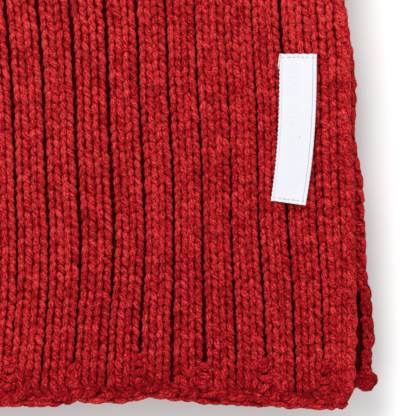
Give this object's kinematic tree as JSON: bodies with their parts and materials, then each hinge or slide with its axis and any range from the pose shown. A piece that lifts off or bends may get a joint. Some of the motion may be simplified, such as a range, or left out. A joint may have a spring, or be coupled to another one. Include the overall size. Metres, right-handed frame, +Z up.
{
  "type": "folded knit scarf",
  "caption": "Long rib-knit scarf folded flat into a layered pile, its free ends on top, with a small blank woven label sewn to the upper end.",
  "frame": {"origin": "middle of the flat underside, on the surface that the folded scarf lies on", "axes": "+Z up through the layers, +Y along the ribs from the free ends to the outer fold, +X to the right seen from above with the free ends nearest the viewer"},
  "size_m": [0.2546, 0.4523, 0.0289],
  "materials": {
    "red_knit": "matte",
    "white_label": "satin"
  },
  "bodies": {
    "root": {"labelled_end": "red_knit", "cast_on_edge": "red_knit", "label": "white_label", "plain_end": "red_knit", "bind_off_edge": "red_knit", "outer_fold": "red_knit", "inner_fold": "red_knit", "lower_fold": "red_knit", "folded_core": "red_knit"}
  },
  "joints": []
}
